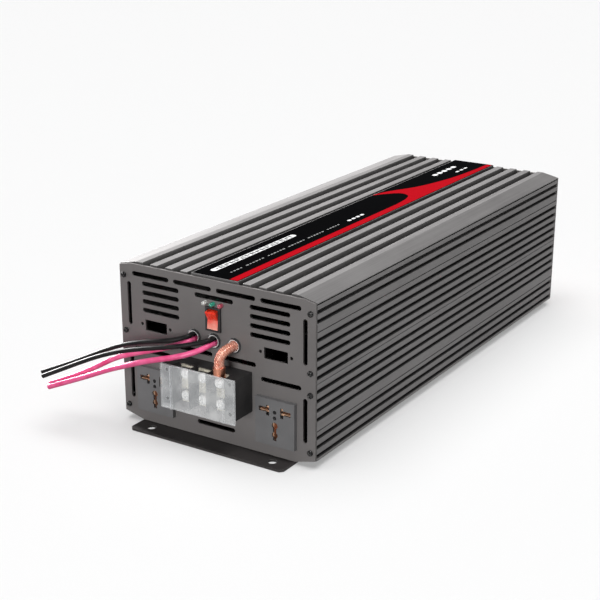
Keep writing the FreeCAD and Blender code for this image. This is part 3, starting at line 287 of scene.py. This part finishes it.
def rocker_plastic():
    """Translucent red rocker with a painted pale reflection towards its lower end, and light carried
    inside it.
    """
    look = Recipe("rocker_red", Subsurface_Weight=0.25, Coat_Weight=0.6, Coat_Roughness=0.08)
    low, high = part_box("switch_rocker")
    up = look.span(look.part_of("Z"), low.z, high.z)
    clouds = look.noise(260, detail=2)
    up = look.join("ADD", up, look.span(clouds, 0.3, 0.7, -0.12, 0.12))
    # Painted reflection: the rocker turns pale towards its lower end.
    look.set("Base Color", look.mix(look.span(up, 0.05, 0.6), (0.95, 0.38, 0.30), (0.86, 0.055, 0.025)))
    look.shader.inputs["Subsurface Radius"].default_value = (4 * MM, 1 * MM, 1 * MM)
    look.set("Roughness", look.span(clouds, 0.3, 0.7, 0.22, 0.32))
    look.relief(look.noise(1800), 0.01 * MM, look.bevel(0.5 * MM))
    return look.material


def lens(name, colour, pale):
    """Tinted lamp lens, paler in swirls."""
    look = Recipe(name, Transmission_Weight=0.55, IOR=1.49, Coat_Weight=0.5)
    swirl = look.noise(500, detail=2)
    look.set("Base Color", look.mix(look.span(swirl, 0.35, 0.65), colour, pale))
    look.set("Roughness", look.span(swirl, 0.3, 0.7, 0.05, 0.16))
    look.relief(swirl, 0.01 * MM)
    return look.material


def clear_moulding():
    """Clear cover that is slightly milky and scuffed, so the screws behind it stay visible."""
    look = Recipe("clear_cover", IOR=1.46)
    scuffs = look.noise(260, detail=5, roughness=0.7)
    haze = look.noise(60, detail=3)
    look.set("Base Color", look.mix(look.span(haze, 0.35, 0.7), (0.80, 0.82, 0.84), (0.94, 0.95, 0.95)))
    look.set("Roughness", look.span(scuffs, 0.3, 0.7, 0.06, 0.20))
    # Painted highlight: the rounded rims of the cover show as more opaque white.
    rim_highlight = look.span(look.edges(0.9 * MM), 0, 1, 0, 0.8)
    seen = look.join("MAXIMUM", look.span(haze, 0.3, 0.7, 0.20, 0.34), rim_highlight)
    # It throws no shadow, so the screws behind it stay bright.
    look.set("Alpha", look.join("MULTIPLY", seen, look.join("SUBTRACT", 1.0, look.ray_is("Shadow"))))
    look.relief(scuffs, 0.01 * MM, look.bevel(0.4 * MM))
    return look.material


def lined_rubber(low, high):
    """Black rubber grommet with a painted pale highlight ring round its bore; low and high are the
    grommet's box.
    """
    look = Recipe("lined_rubber", Sheen_Weight=0.3, Coat_Weight=0.5, Coat_Roughness=0.15)
    pores = look.noise(1300, detail=3)
    black = look.mix(look.span(pores, 0.45, 0.8), (0.008, 0.008, 0.009), (0.028, 0.027, 0.027))
    centre = (low + high) / 2
    across = look.join("SUBTRACT", look.part_of("X"), centre.x)
    up = look.join("SUBTRACT", look.part_of("Z"), centre.z)
    squares = look.join("ADD", look.join("POWER", across, 2.0), look.join("POWER", up, 2.0))
    outer_radius = (high.x - low.x) / 2
    distance = look.join("SQRT", squares, 0.0)
    # Painted highlight: a pale ring round the bore stands for light caught on the grommet's inner lip.
    highlight_ring = look.span(distance, 0.84 * outer_radius, 0.80 * outer_radius)
    look.set("Base Color", look.mix(highlight_ring, black, (0.86, 0.86, 0.85)))
    look.set("Roughness", look.span(pores, 0.3, 0.7, 0.30, 0.48))
    look.relief(pores, 0.03 * MM, look.bevel(0.6 * MM))
    return look.material


def cable_jacket(name, low, high, roughness, gloss):
    """Glossy extruded jacket with slow waviness from the strands below it."""
    look = Recipe(name, Coat_Weight=gloss, Coat_Roughness=0.25, Specular_IOR_Level=0.5 * gloss + 0.1)
    slow = look.noise(120, detail=2)
    fine = look.noise(1500, detail=2)
    look.set("Base Color", look.mix(look.span(slow, 0.3, 0.7), low, high))
    look.set("Roughness", look.span(fine, 0.3, 0.7, roughness, roughness + 0.12))
    look.relief(look.join("ADD", slow, look.join("MULTIPLY", fine, 0.1)), 0.12 * MM)
    return look.material


def twisted_pair():
    """Thin red and black fan leads, seen as bands that alternate along the pair."""
    look = Recipe("twisted_pair", Coat_Weight=0.3, Coat_Roughness=0.2)
    bands = look.waves(50, "DIAGONAL", 0.4)
    fine = look.noise(1500, detail=2)
    tone = look.mix(look.span(bands, 0.40, 0.60), (0.012, 0.011, 0.011), (0.50, 0.020, 0.028))
    look.set("Base Color", tone)
    look.set("Roughness", look.span(fine, 0.3, 0.7, 0.28, 0.42))
    look.relief(fine, 0.05 * MM)
    return look.material


def gloss_film(name, low, high, roughness=0.14, shine=0.05):
    """Printed film with a light orange peel and a few hairline scuffs."""
    look = Recipe(name, Specular_IOR_Level=shine)
    peel = look.noise(420, detail=2)
    hairlines = look.noise((60, 1500, 60), detail=4, roughness=0.8, turn=(0, 0, 0.6))
    look.set("Base Color", look.mix(look.span(hairlines, 0.5, 0.8, 0.0, 0.5), low, high))
    look.set("Roughness", look.span(hairlines, 0.45, 0.8, roughness, roughness + 0.2))
    look.relief(peel, 0.02 * MM)
    return look.material


# ------------------------------------------------------------------ hidden electronics

def solder_mask():
    """Green board with lighter tracks crossing it and tinned pads."""
    look = Recipe("solder_mask", Coat_Weight=0.5, Coat_Roughness=0.15)
    along, across = look.waves(90, "X", 6.0), look.waves(75, "Y", 7.0)
    tracks = look.join("MAXIMUM", look.span(along, 0.62, 0.70), look.span(across, 0.66, 0.74))
    tone = look.mix(tracks, (0.006, 0.070, 0.030), (0.015, 0.150, 0.062))
    pads = look.span(look.specks(330), 0.16, 0.12)
    look.set("Base Color", look.mix(pads, tone, (0.62, 0.60, 0.55)))
    look.set("Roughness", look.span(tracks, 0, 1, 0.34, 0.24))
    look.relief(look.join("ADD", tracks, pads), 0.06 * MM)
    return look.material


def ground_ferrite():
    """Dark grey sintered core with pits."""
    look = Recipe("ground_ferrite", metallic=0.2)
    pits = look.specks(1500)
    look.set("Base Color", look.mix(look.noise(200), (0.035, 0.034, 0.036), (0.085, 0.083, 0.084)))
    look.set("Roughness", look.span(pits, 0.1, 0.6, 0.75, 0.5))
    look.relief(pits, 0.08 * MM, look.bevel(0.4 * MM))
    return look.material


def winding_tape():
    """Yellow polyester tape in overlapping turns."""
    look = Recipe("winding_tape", Coat_Weight=0.3)
    laps = look.waves(55, "Z", 0.6)
    look.set("Base Color", look.mix(laps, (0.55, 0.36, 0.03), (0.80, 0.58, 0.09)))
    look.set("Roughness", look.span(look.noise(600), 0.3, 0.7, 0.28, 0.44))
    look.relief(look.span(laps, 0.85, 0.95), 0.12 * MM, look.bevel(EDGE))
    return look.material


def capacitor_sleeve():
    """Blue-black shrink sleeve with a bare top."""
    look = Recipe("capacitor_sleeve", Coat_Weight=0.4)
    low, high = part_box("capacitors")
    wrinkles = look.noise((300, 300, 60), detail=3)
    sleeve = look.mix(look.span(wrinkles, 0.3, 0.7), (0.010, 0.012, 0.035), (0.022, 0.026, 0.070))
    lid = look.span(look.part_of("Z"), high.z - 0.9 * MM, high.z - 0.7 * MM)
    look.set("Base Color", look.mix(lid, sleeve, (0.62, 0.62, 0.63)))
    look.set("Metallic", lid)
    look.set("Roughness", look.span(wrinkles, 0.3, 0.7, 0.24, 0.36))
    look.relief(wrinkles, 0.05 * MM, look.bevel(EDGE))
    return look.material


looks = {
    "graphite": anodised_aluminium(),
    "panel_coat": powder_coat("panel_coat", (0.130, 0.121, 0.119), (0.155, 0.145, 0.143),
                              (0.34, 0.32, 0.31), 0.46),
    "foot_coat": powder_coat("foot_coat", (0.018, 0.016, 0.016), (0.029, 0.026, 0.025),
                             (0.20, 0.18, 0.18), 0.42),
    "black_screw": black_oxide(),
    "bright_screw": bare_metal("bright_zinc", (0.98, 0.98, 0.97), (0.90, 0.90, 0.89), 0.22, metallic=0.3),
    "guard_wire": bare_metal("polished_wire", (0.93, 0.93, 0.94), (0.78, 0.78, 0.80), 0.06,
                             streak=(260, 260, 260)),
    "label_film": gloss_film("label_film", (0.0006, 0.0006, 0.0008), (0.005, 0.005, 0.005), 0.10, 0.02),
    "black_plastic": moulded("black_plastic", (0.012, 0.012, 0.013), (0.024, 0.023, 0.023), 0.40),
    "epoxy": moulded("fan_plastic", (0.014, 0.014, 0.015), (0.026, 0.026, 0.027), 0.36),
    "gloss_black": moulded("gloss_black", (0.008, 0.008, 0.009), (0.016, 0.016, 0.017), 0.16,
                           grain=500, depth=0.03, Coat_Weight=0.6, Coat_Roughness=0.05),
    "gloss_red": moulded("gloss_red", (0.66, 0.010, 0.016), (0.80, 0.024, 0.030), 0.18,
                         grain=500, depth=0.03, Coat_Weight=0.6, Coat_Roughness=0.05,
                         Subsurface_Weight=0.08),
    "rocker_red": rocker_plastic(),
    "socket_grey": moulded("socket_grey", (0.125, 0.124, 0.127), (0.155, 0.153, 0.156), 0.38),
    "clear_cover": clear_moulding(),
    "lamp_clear": lens("lamp_clear", (0.92, 0.91, 0.86), (1.0, 1.0, 0.98)),
    "lamp_green": lens("lamp_green", (0.02, 0.42, 0.28), (0.12, 0.70, 0.50)),
    "lamp_red": lens("lamp_red", (0.62, 0.03, 0.09), (0.90, 0.25, 0.32)),
    "lead_black": cable_jacket("lead_black", (0.006, 0.006, 0.007), (0.016, 0.015, 0.015), 0.45, 0.05),
    "lead_red": cable_jacket("lead_red", (0.72, 0.065, 0.21), (0.84, 0.14, 0.32), 0.34, 0.3),
    "copper": bare_metal("bare_copper", (0.86, 0.40, 0.27), (0.66, 0.26, 0.16), 0.24),
    "brass": bare_metal("spring_bronze", (0.92, 0.62, 0.42), (0.74, 0.40, 0.24), 0.24, metallic=0.6),
    "zinc": bare_metal("zinc_plate", (0.74, 0.74, 0.75), (0.56, 0.56, 0.58), 0.24),
    "board_green": solder_mask(),
    "ferrite": ground_ferrite(),
    "tape_yellow": winding_tape(),
    "can_sleeve": capacitor_sleeve(),
    "hub_film": gloss_film("hub_film", (0.90, 0.90, 0.91), (0.74, 0.74, 0.76), 0.22),
}


def dress(item, look):
    """Give every material slot of an object the same look."""
    if not item.material_slots:
        item.data.materials.append(look)
    for slot in item.material_slots:
        slot.material = look


for subpart in record["subparts"]:
    if subpart["material_slot"] in looks:
        dress(nodes[subpart["node"]], looks[subpart["material_slot"]])
# These nodes look different from the rest of their material slot.
for name in ("grommet_left", "grommet_middle", "grommet_right"):
    dress(nodes[name], lined_rubber(*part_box(name)))
grommet_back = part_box("grommet_right")[1].y
dress(nodes["copper_lead"], stranded_copper(grommet_back + 2 * MM))
dress(nodes["fan_leads"], twisted_pair())
dress(nodes["block_plates"], bare_metal("dull_plate", (0.10, 0.10, 0.105), (0.05, 0.05, 0.055), 0.34))
tinned_brass = bare_metal("tinned_brass", (0.90, 0.86, 0.74), (0.72, 0.67, 0.52), 0.22, metallic=0.6)
dress(nodes["block_contacts"], tinned_brass)


# ------------------------------------------------------------------ pieces made here

def piece(name, mesh_maker, look):
    """A new mesh object that rides on the chassis."""
    mesh = bpy.data.meshes.new(name)
    builder = bmesh.new()
    mesh_maker(builder)
    bmesh.ops.recalc_face_normals(builder, faces=builder.faces)
    builder.to_mesh(mesh)
    builder.free()
    made = bpy.data.objects.new(name, mesh)
    bpy.context.scene.collection.objects.link(made)
    dress(made, look)
    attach(made, "chassis")


def slab(builder, outline, place, thickness):
    """A flat plate: an outline of (u, v) points put in space by place(u, v, height)."""
    bottom = [builder.verts.new(place(u, v, 0.0)) for u, v in outline]
    top = [builder.verts.new(place(u, v, thickness)) for u, v in outline]
    builder.faces.new(bottom[::-1])
    builder.faces.new(top)
    for k in range(len(outline)):
        following = (k + 1) % len(outline)
        builder.faces.new((bottom[k], bottom[following], top[following], top[k]))


def ring(builder, inner, outer, place, thickness, count=48):
    """A flat ring as one closed band, with its centre at the origin of place(u, v, height)."""
    loops = []
    for radius, height in ((inner, 0.0), (outer, 0.0), (outer, thickness), (inner, thickness)):
        angles = [2 * math.pi * k / count for k in range(count)]
        loops.append([builder.verts.new(place(radius * math.cos(angle), radius * math.sin(angle), height))
                      for angle in angles])
    for loop, following in zip(loops, loops[1:] + loops[:1]):
        for k in range(count):
            after = (k + 1) % count
            builder.faces.new((loop[k], loop[after], following[after], following[k]))


def smooth_line(points, steps=12):
    """Points along a smooth curve that passes through every guide point."""
    ends = [points[0]] + list(points) + [points[-1]]
    curve = []
    for k in range(1, len(ends) - 2):
        before, here, there, after = (Vector(p) for p in ends[k - 1:k + 3])
        for step in range(steps):
            t = step / steps
            curve.append(0.5 * (2 * here + (there - before) * t
                                + (2 * before - 5 * here + 4 * there - after) * t ** 2
                                + (3 * here - before - 3 * there + after) * t ** 3))
    curve.append(Vector(points[-1]))
    return [tuple(point) for point in curve]


def pill(centre_u, centre_v, half_u, half_v, steps=10):
    """Outline of a bar with round ends along v."""
    outline = []
    for end in (1, -1):
        for k in range(steps + 1):
            angle = math.pi * k / steps + (0 if end > 0 else math.pi)
            v = centre_v + end * (half_v - half_u) + half_u * math.sin(angle)
            outline.append((centre_u + half_u * math.cos(angle), v))
    return outline


label_low, label_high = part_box("top_label")
LABEL_HALF = label_high.x
LABEL_LENGTH = label_high.y - label_low.y
INK = 0.04 * MM
PILL_PLACE = -11 * MM
PILL_HALF_WIDTH = 2.9 * MM
# Where the printing starts and ends along the label, in shares of the label's length.
PILL_FROM, PILL_TO = 0.023, 0.283
MARKS_FROM, MARKS_TO = 0.037, 0.273


def on_label(u, v, height):
    """A place on the label: u across it and v back from its front edge, in metres."""
    return (u, label_low.y + v, label_high.z + height)


def red_print(builder):
    """Red band along the +X edge that swells into a swoosh reaching the -X edge."""
    band = LABEL_HALF - 8 * MM
    edge = LABEL_HALF - 0.3 * MM
    rear_curve = [(band + 2 * MM, 0.998), (band + 0.5 * MM, 0.92), (band - 4 * MM, 0.83),
                  (band - 15 * MM, 0.735), (-edge + 6 * MM, 0.665), (-edge, 0.625)]
    front_curve = [(-edge, 0.615), (-edge + 8 * MM, 0.640), (-edge + 19 * MM, 0.662),
                   (band - 7 * MM, 0.655), (band - 2 * MM, 0.625), (band, 0.58)]
    shares = [(band, 0.001), (edge, 0.001), (edge, 0.999)]
    shares += smooth_line(rear_curve) + smooth_line(front_curve)
    slab(builder, [(u, share * LABEL_LENGTH) for u, share in shares], on_label, INK)


def dash_row(builder, place, shares, half_width, half_length):
    """Dashes in a row along the label, each centred at a share of the label's length."""
    for share in shares:
        slab(builder, pill(place, share * LABEL_LENGTH, half_width, half_length), on_label, INK)


def white_print(builder):
    """A white pill and three rows of dashes where the label carries its printing, with no lettering."""
    pill_half_length = (PILL_TO - PILL_FROM) / 2 * LABEL_LENGTH
    dash_row(builder, PILL_PLACE, [(PILL_FROM + PILL_TO) / 2], PILL_HALF_WIDTH, pill_half_length)
    dash_row(builder, 5.5 * MM, [0.425 + 0.016 * k for k in range(4)], 1.5 * MM, 2.8 * MM)
    dash_row(builder, -9 * MM, [0.845 + 0.022 * k for k in range(5)], 2.6 * MM, 4.2 * MM)
    dash_row(builder, 4 * MM, [0.90 + 0.020 * k for k in range(3)], 1.3 * MM, 3.4 * MM)


def on_pill(u, v, height):
    """A place on the white pill, one layer of ink above the label."""
    return on_label(u, v, height + INK)


def pill_marks(builder):
    """Dark blocks of uneven height that fill the pill, standing in for its printing."""
    count = 30
    pitch = (MARKS_TO - MARKS_FROM) * LABEL_LENGTH / count
    for k in range(count):
        start = MARKS_FROM * LABEL_LENGTH + pitch * k
        low = PILL_PLACE - (2.0 if k % 3 else 1.2) * MM
        high = PILL_PLACE + (2.0 if k % 4 else 0.8) * MM
        end = start + (0.62 if k % 2 else 0.46) * pitch
        slab(builder, [(low, start), (high, start), (high, end), (low, end)], on_pill, INK)


def grey_print(builder):
    """Fine line of dashes beside the pill, with every seventh one left out."""
    dashes = 38
    group = 7
    for k in range(dashes):
        if k % group != 4:
            half_length = (1.2 + 0.35 * (k % 3)) * MM
            dash_row(builder, 4.6 * MM, [0.035 + 0.0095 * k], 0.75 * MM, half_length)


red_ink = gloss_film("red_ink", (0.26, 0.001, 0.005), (0.33, 0.010, 0.014), 0.14)
piece("label_red_print", red_print, red_ink)
white_ink = gloss_film("white_ink", (0.52, 0.52, 0.52), (0.44, 0.44, 0.44), 0.16)
piece("label_white_print", white_print, white_ink)
dark_ink = gloss_film("dark_ink", (0.010, 0.010, 0.012), (0.03, 0.03, 0.03), 0.3)
piece("label_pill_marks", pill_marks, dark_ink)
grey_ink = gloss_film("grey_ink", (0.20, 0.20, 0.20), (0.28, 0.28, 0.28), 0.16)
piece("label_grey_print", grey_print, grey_ink)


hub_low, hub_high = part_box("fan_hub_label")
hub_middle = (hub_low + hub_high) / 2


def on_hub(u, v, height):
    """A place on the fan hub sticker, seen from behind the fan."""
    return (hub_middle.x - u, hub_high.y + height, hub_middle.z + v)


def hub_print(builder):
    """Ring and rows of plain dashes printed on the hub sticker."""
    radius = (hub_high.x - hub_low.x) / 2
    ring(builder, 0.86 * radius, 0.93 * radius, on_hub, INK)
    # Each row is its height, its half width and how many dashes it holds, in shares of the radius.
    rows = ((0.60, 0.30, 2), (0.30, 0.56, 4), (0.02, 0.68, 3), (-0.26, 0.60, 5), (-0.54, 0.36, 2))
    for level, half, dashes in rows:
        pitch = 2 * half / dashes
        for k in range(dashes):
            middle_u = (-half + pitch * (k + 0.5)) * radius
            reach = (0.30 + 0.10 * (k % 2)) * pitch * radius
            rise = (0.07 + 0.03 * ((k + dashes) % 2)) * radius
            left, right = middle_u - reach, middle_u + reach
            low, high = level * radius - rise, level * radius + rise
            slab(builder, [(left, low), (right, low), (right, high), (left, high)], on_hub, INK)


hub_ink = gloss_film("hub_ink", (0.02, 0.02, 0.022), (0.06, 0.06, 0.06), 0.2)
piece("hub_print", hub_print, hub_ink)


# ------------------------------------------------------------------ floor, light and camera

def soft_light(name, place, size, power):
    """A square area light aimed at the middle of the part."""
    data = bpy.data.lights.new(name, "AREA")
    data.size = size
    data.energy = power
    lamp = bpy.data.objects.new(name, data)
    lamp.location = place
    aim = (cad_low + cad_high) / 2 - Vector(place)
    lamp.rotation_euler = aim.to_track_quat("-Z", "Y").to_euler()
    bpy.context.scene.collection.objects.link(lamp)
    return lamp


def overhead_sun(name):
    """Even light straight down, spread wide so that its shadows are soft."""
    data = bpy.data.lights.new(name, "SUN")
    data.energy = 1.7
    data.angle = math.radians(70)
    lamp = bpy.data.objects.new(name, data)
    bpy.context.scene.collection.objects.link(lamp)
    return lamp


def make_floor():
    """Large pale floor at the feet."""
    look = Recipe("floor_paper")
    fibres = look.noise(900, detail=3)
    paper = look.mix(fibres, (0.86, 0.86, 0.86), (0.90, 0.90, 0.90))
    # The floor looks white but throws little light up at the object, so the sides keep their depth.
    thrown_up = look.mix(look.ray_is("Glossy"), (0.10, 0.10, 0.10), (0.50, 0.50, 0.50))
    look.set("Base Color", look.mix(look.ray_is("Camera"), thrown_up, paper))
    look.set("Roughness", look.span(fibres, 0.3, 0.7, 0.75, 0.9))
    look.relief(fibres, 0.02 * MM)
    mesh = bpy.data.meshes.new("floor")
    builder = bmesh.new()
    half_side = 6.0
    bmesh.ops.create_grid(builder, x_segments=1, y_segments=1, size=half_side)
    builder.to_mesh(mesh)
    builder.free()
    floor = bpy.data.objects.new("floor", mesh)
    floor.location.z = cad_low.z - 0.2 * MM
    bpy.context.scene.collection.objects.link(floor)
    dress(floor, look.material)
    return floor


def make_key_card():
    """Upright card beside the case that keeps the key off its -X side; only its shadow is ever seen."""
    case_low, case_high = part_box("upper_shell")
    place = case_low.x - 30 * MM
    front, back = case_low.y - 5 * MM, case_high.y + 20 * MM
    foot, top = cad_low.z, case_high.z + 3 * MM
    mesh = bpy.data.meshes.new("key_card")
    corners = [(place, front, foot), (place, back, foot), (place, back, top), (place, front, top)]
    mesh.from_pydata(corners, [], [(0, 1, 2, 3)])
    card = bpy.data.objects.new("key_card", mesh)
    bpy.context.scene.collection.objects.link(card)
    card.visible_camera = False
    card.visible_diffuse = False
    card.visible_glossy = False
    card.visible_transmission = False
    dress(card, looks["black_plastic"])
    return card


CAMERA_PLACE = (0.6117, -1.0714, 0.4807)
CAMERA_TURN = math.radians(32.7)
CAMERA_RISE = math.radians(19.63)


def make_camera():
    """Camera at the viewing angle of the front three-quarter view."""
    data = bpy.data.cameras.new("camera")
    data.lens = 79.6
    data.sensor_width = 36.0
    data.shift_x = 0.005
    data.shift_y = 0.025
    camera = bpy.data.objects.new("camera", data)
    camera.location = CAMERA_PLACE
    backward = Vector((math.sin(CAMERA_TURN) * math.cos(CAMERA_RISE),
                       -math.cos(CAMERA_TURN) * math.cos(CAMERA_RISE),
                       math.sin(CAMERA_RISE)))
    camera.rotation_euler = (-backward).to_track_quat("-Z", "Y").to_euler()
    bpy.context.scene.collection.objects.link(camera)
    bpy.context.scene.camera = camera


def only_on(lamp, receivers):
    """Let a light fall on some objects only."""
    group = bpy.data.collections.new(f"lit_by_{lamp.name}")
    for item in receivers:
        group.objects.link(item)
    lamp.light_linking.receiver_collection = group


INSIDE = ("bus_straps", "main_board", "transformer_cores", "transformer_windings", "capacitors",
          "power_devices", "clamp_bars")
BATTERY_FITTINGS = ("red_cap", "red_washer", "red_post", "black_cap", "black_washer", "black_post",
                    "fan_guard", "guard_screws", "fan_hub_label", "hub_print")


def make_lights(floor):
    """Low key from the left that leaves the top grooves dark, weaker fills, and lights for the floor."""
    # The lamps leave out the floor and what lies inside, so that the slots look into the dark.
    inside = [nodes[name] for name in INSIDE]
    lit = [item for item in bpy.context.scene.objects
           if item.type == "MESH" and item != floor and item not in inside]
    # The battery end is in shade, so its bright and coloured fittings get a lamp of their own.
    fittings = [item for item in lit if item.name.startswith(BATTERY_FITTINGS)]
    key = soft_light("key", place=(-2.2, 0.35, 1.05), size=0.45, power=268.0)
    left_fill = soft_light("left_fill", place=(-1.8, -0.5, 0.30), size=0.9, power=15.0)
    right_fill = soft_light("right_fill", place=(1.1, -0.2, 2.1), size=0.8, power=42.0)
    front_fill = soft_light("front_fill", place=(0.3, -2.4, 0.40), size=1.0, power=40.0)
    rear_fill = soft_light("rear_fill", place=(0.9, 2.0, 0.9), size=0.7, power=42.0)
    # Half of the floor's light casts no shadow, which keeps the shadow round the feet light.
    floor_light = overhead_sun("floor_light")
    floor_wash = overhead_sun("floor_wash")
    floor_wash.data.use_shadow = False
    for lamp in (key, left_fill, right_fill, front_fill):
        only_on(lamp, lit)
    only_on(rear_fill, fittings)
    only_on(floor_light, [floor])
    only_on(floor_wash, [floor])
    pass_the_card((left_fill, right_fill, front_fill, rear_fill, floor_light), make_key_card())


def pass_the_card(lamps, card):
    """Let some lamps shine through the card as if it weren't there."""
    group = bpy.data.collections.new("all_but_the_key_card")
    group.objects.link(card)
    group.collection_objects[0].light_linking.link_state = "EXCLUDE"
    for lamp in lamps:
        lamp.light_linking.blocker_collection = group


def make_backdrop():
    """A backdrop that is white to the camera but dim as a light, so that dark parts keep their depth."""
    world = bpy.data.worlds.new("studio")
    world.use_nodes = True
    tree = world.node_tree
    background = tree.nodes["Background"]
    background.inputs["Color"].default_value = (0.97, 0.98, 1.0, 1.0)
    seen = tree.nodes.new("ShaderNodeLightPath").outputs["Is Camera Ray"]
    strength = tree.nodes.new("ShaderNodeMapRange")
    strength.inputs["To Min"].default_value = 0.045
    strength.inputs["To Max"].default_value = 1.0
    tree.links.new(seen, strength.inputs["Value"])
    tree.links.new(strength.outputs["Result"], background.inputs["Strength"])
    bpy.context.scene.world = world


make_lights(make_floor())
make_backdrop()
make_camera()
bpy.context.scene.view_settings.view_transform = "Standard"
